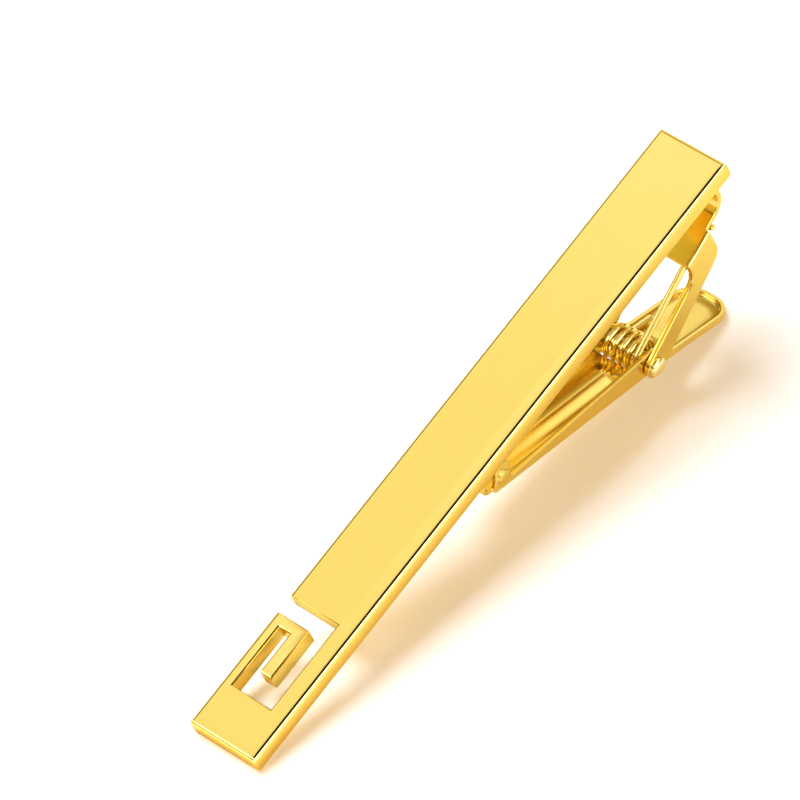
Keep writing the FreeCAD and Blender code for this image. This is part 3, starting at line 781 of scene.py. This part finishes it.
white = bpy.data.materials.new("table_white")
white.use_nodes = True
nodes = white.node_tree.nodes
link = white.node_tree.links.new
nodes.clear()
matt = nodes.new("ShaderNodeBsdfDiffuse")
matt.inputs["Color"].default_value = MATT_WHITE
glow = nodes.new("ShaderNodeEmission")
glow.inputs["Color"].default_value = GLOW_WHITE
glow.inputs["Strength"].default_value = 1.0
ray = nodes.new("ShaderNodeLightPath")
mirrored = nodes.new("ShaderNodeMath")
mirrored.operation = "MAXIMUM"
seen = nodes.new("ShaderNodeMath")
seen.operation = "MAXIMUM"
share = nodes.new("ShaderNodeMath")
share.operation = "MULTIPLY"
share.inputs[1].default_value = GLOW_SHARE
both = nodes.new("ShaderNodeMixShader")
out = nodes.new("ShaderNodeOutputMaterial")
link(ray.outputs["Is Glossy Ray"], mirrored.inputs[0])
link(ray.outputs["Is Transmission Ray"], mirrored.inputs[1])
link(ray.outputs["Is Camera Ray"], seen.inputs[0])
link(mirrored.outputs[0], seen.inputs[1])
link(seen.outputs[0], share.inputs[0])
link(share.outputs[0], both.inputs["Fac"])
link(matt.outputs[0], both.inputs[1])
link(glow.outputs[0], both.inputs[2])
link(both.outputs[0], out.inputs["Surface"])
table.data.materials.append(white)
print(f"{white.name}: {GLOW_SHARE:.0%} glow")

# %% [markdown]
# ## Lamps
#
# The photo's shadow is soft and golden. One white lamp would give a grey shadow. So a
# broad, slightly blue key lamp hangs above and a little behind the clip, and a small
# amber lamp on the camera's side fills the shadow with warm light. Where both shine, the
# table is white.
# Neither lamp shows in the metal, because its reflections come from the surround.

# %% Studio light
KEY_WAY = (-0.05, 0.42, 0.90)
KEY_DISTANCE = 1.0
KEY_SIZE = 0.62
KEY_POWER = 13.4
KEY_COLOUR = (0.74, 0.875, 1.0)
FILL_DISTANCE = 1.2
FILL_SIZE = 0.04
FILL_POWER = 7.2
FILL_COLOUR = (1.0, 0.52, 0.08)

bpy.context.scene.view_settings.view_transform = "Standard"


def softbox(name, direction, distance, size, power, colour):
    """A square lamp that shines on the clip from this direction."""
    lamp = bpy.data.lights.new(name, "AREA")
    lamp.shape = "RECTANGLE"
    lamp.size = size
    lamp.size_y = size
    lamp.energy = power
    lamp.color = colour
    holder = bpy.data.objects.new(name, lamp)
    bpy.context.scene.collection.objects.link(holder)
    towards = Vector(direction).normalized()
    holder.location = towards * distance
    holder.rotation_mode = "QUATERNION"
    holder.rotation_quaternion = (-towards).to_track_quat("-Z", "Y")
    holder.visible_glossy = False
    print(f"{name}: {power} W from {distance} m")


softbox("key_softbox", KEY_WAY, KEY_DISTANCE, KEY_SIZE, KEY_POWER, KEY_COLOUR)
towards_camera = camera.matrix_world.translation - bar_frame @ (ALONG * BAR_LENGTH / 2)
softbox("fill_lamp", towards_camera, FILL_DISTANCE, FILL_SIZE, FILL_POWER, FILL_COLOUR)

# %% [markdown]
# ## What the metal reflects
#
# A mirror has no look of its own: a studio photo of jewellery is made by what stands
# round the piece. Real panels could be modelled, but they would get in the way of other
# views. So the world is that surround. Each zone of it is a row of panels from the
# front of the bar to its back, which is a colour ramp along Y, and fades join the zones.

# %% Rows of panels and fades
world = bpy.data.worlds.new("studio")
bpy.context.scene.world = world
world.use_nodes = True
nodes = world.node_tree.nodes
link = world.node_tree.links.new
air = nodes["Background"]
direction = nodes.new("ShaderNodeTexCoord")
parts = nodes.new("ShaderNodeSeparateXYZ")
front_to_back = nodes.new("ShaderNodeMapRange")
front_to_back.inputs["From Min"].default_value = -1.0
link(direction.outputs["Generated"], parts.inputs[0])
link(parts.outputs["Y"], front_to_back.inputs["Value"])


def panels(steps):
    """A row of panels from the front of the bar (-1) to its back (1)."""
    row = nodes.new("ShaderNodeValToRGB")
    ramp = row.color_ramp
    while len(ramp.elements) < len(steps):
        ramp.elements.new(0.5)
    for element, (place, strength, tint) in zip(ramp.elements, steps):
        element.position = (place + 1) / 2
        element.color = (*(strength * part for part in tint), 1.0)
    link(front_to_back.outputs["Result"], row.inputs["Fac"])
    return row.outputs["Color"]


def fade(start, end, axis):
    """0 at start, 1 at end, along one axis."""
    slope = nodes.new("ShaderNodeMapRange")
    slope.inputs["From Min"].default_value = start
    slope.inputs["From Max"].default_value = end
    link(parts.outputs[axis], slope.inputs["Value"])
    return slope.outputs["Result"]


def between(share, first, second):
    """The first colour where the share is 0, the second where it is 1."""
    mixer = nodes.new("ShaderNodeMix")
    mixer.data_type = "RGBA"
    link(share, mixer.inputs["Factor"])
    link(first, mixer.inputs["A"])
    link(second, mixer.inputs["B"])
    return mixer.outputs["Result"]


print("surround starts with", len(nodes), "nodes")

# %% [markdown]
# ## Zones of the surround
#
# Over the bar's middle there are a bright strip in front, a dark gap overhead and a wide
# pale panel behind. The flat face shows the pale panel, and each rounded edge runs
# through all three, which gives the thin dark line and the bright line beside it.
# Beyond the far end, white and amber light the bracket. Low down there, a white panel
# lights the clasp, before the near end a strong one whitens the bar's end, and all
# round the horizon is brown, because a metal that mirrors only white looks like plastic.

# %% Panels of each zone
WHITE = (1.0, 1.0, 1.0)
CREAM = (1.0, 1.0, 0.84)
AMBER = (1.0, 0.68, 0.14)
BROWN = (0.30, 0.17, 0.03)


def overhead(strength, tint):
    """The row over the bar's middle, with this light in the panel that the face shows."""
    return panels([
        (-1.0, 3.00, WHITE), (-0.95, 5.00, WHITE), (-0.68, 5.50, WHITE),
        (-0.63, 0.10, BROWN), (0.30, 0.10, BROWN),
        (0.43, strength, tint), (0.62, strength, tint), (0.78, 0.25, WHITE),
    ])


near_half = overhead(1.01, CREAM)
far_half = overhead(1.13, WHITE)
beyond_end = panels([
    (-1.0, 1.20, WHITE), (-0.60, 0.60, AMBER), (-0.40, 1.90, WHITE),
    (0.16, 1.90, WHITE), (0.34, 0.55, AMBER), (1.0, 0.45, AMBER),
])
low_end = panels([
    (-1.0, 0.60, WHITE), (-0.20, 0.60, AMBER), (0.20, 1.40, WHITE), (1.0, 1.20, WHITE),
])
before_end = panels([
    (-1.0, 0.90, WHITE), (-0.30, 0.90, WHITE), (0.00, 0.50, WHITE),
    (0.30, 5.00, WHITE), (0.62, 5.00, WHITE), (1.0, 0.60, WHITE),
])
horizon = panels([(-1.0, 1.0, BROWN), (1.0, 1.0, BROWN)])
print("rows of panels:", sum(node.type == "VALTORGB" for node in nodes))

# %% Join the zones
DIFFUSE_SHARE = 0.03

over_middle = between(fade(-0.05, 0.05, "X"), near_half, far_half)
with_far = between(fade(0.10, 0.35, "X"), over_middle, beyond_end)
with_low = between(fade(0.70, 0.74, "X"), with_far, low_end)
high_near = between(fade(0.34, 0.46, "Z"), horizon, before_end)
with_near = between(fade(-0.52, -0.60, "X"), with_low, high_near)
all_round = between(fade(0.12, 0.34, "Z"), horizon, with_near)
link(all_round, air.inputs["Color"])
ray = nodes.new("ShaderNodeLightPath")
dimmer = nodes.new("ShaderNodeMapRange")
dimmer.inputs["To Min"].default_value = 1.0
dimmer.inputs["To Max"].default_value = DIFFUSE_SHARE
link(ray.outputs["Is Diffuse Ray"], dimmer.inputs["Value"])
link(dimmer.outputs["Result"], air.inputs["Strength"])
print(f"surround: {len(nodes)} nodes, {DIFFUSE_SHARE:.0%} of its light on the matt table")
